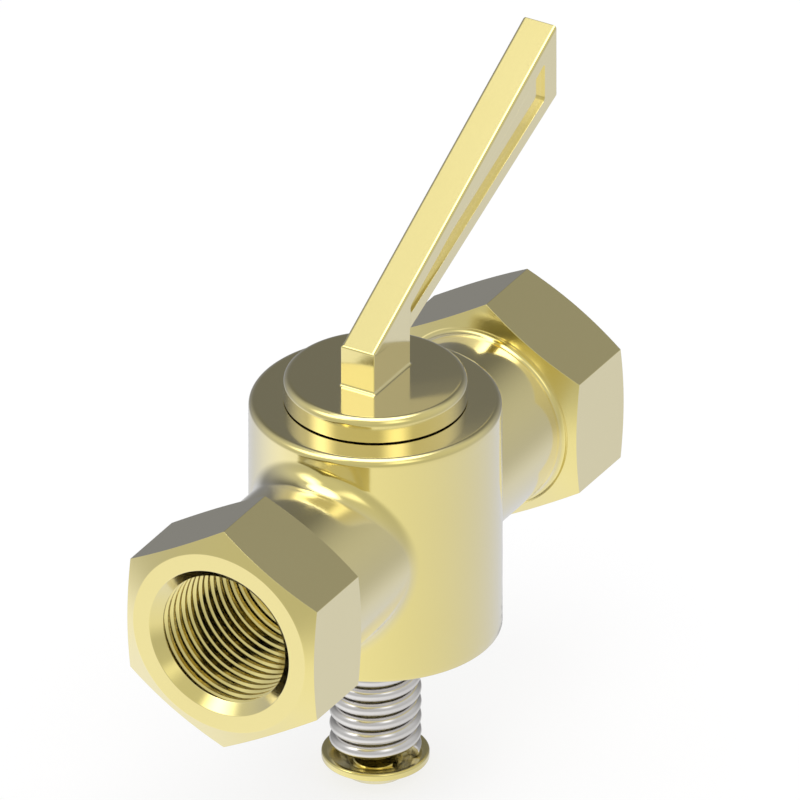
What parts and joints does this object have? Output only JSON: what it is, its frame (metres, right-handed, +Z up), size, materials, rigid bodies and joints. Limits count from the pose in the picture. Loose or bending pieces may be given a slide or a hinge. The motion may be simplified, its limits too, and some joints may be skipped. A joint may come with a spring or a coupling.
{
  "type": "plug valve",
  "caption": "Spring-loaded brass plug valve: lever cast on a tapered plug, hexagonal female pipe ends, coil spring and cup below.",
  "frame": {"origin": "on the pipe's axis where the inlet's thread begins, at the inner edge of the port's lead-in", "axes": "+X along the pipe, out of the outlet; -X out of the inlet; +Z up along the plug's axis, towards the lever"},
  "size_m": [0.1043, 0.0412, 0.1135],
  "materials": {
    "body_brass": "smooth machined brass with a soft gloss",
    "plug_brass": "smooth cast and machined brass with a soft gloss",
    "cup_brass": "polished turned brass",
    "spring_steel": "bright drawn spring wire",
    "washer_steel": "plain steel",
    "screw_steel": "plain steel"
  },
  "bodies": {
    "valve_body": {"valve_body": "body_brass"},
    "plug_group": {"plug": "plug_brass", "thrust_washer": "washer_steel", "spring": "spring_steel", "spring_cup": "cup_brass", "retaining_screw": "screw_steel"}
  },
  "joints": [
    {"name": "plug_turn", "type": "hinge", "parent": "valve_body", "child": "plug_group", "pos_m": [0.04915, 0, 0], "axis": [0, 0, 1], "continuous": true}
  ]
}
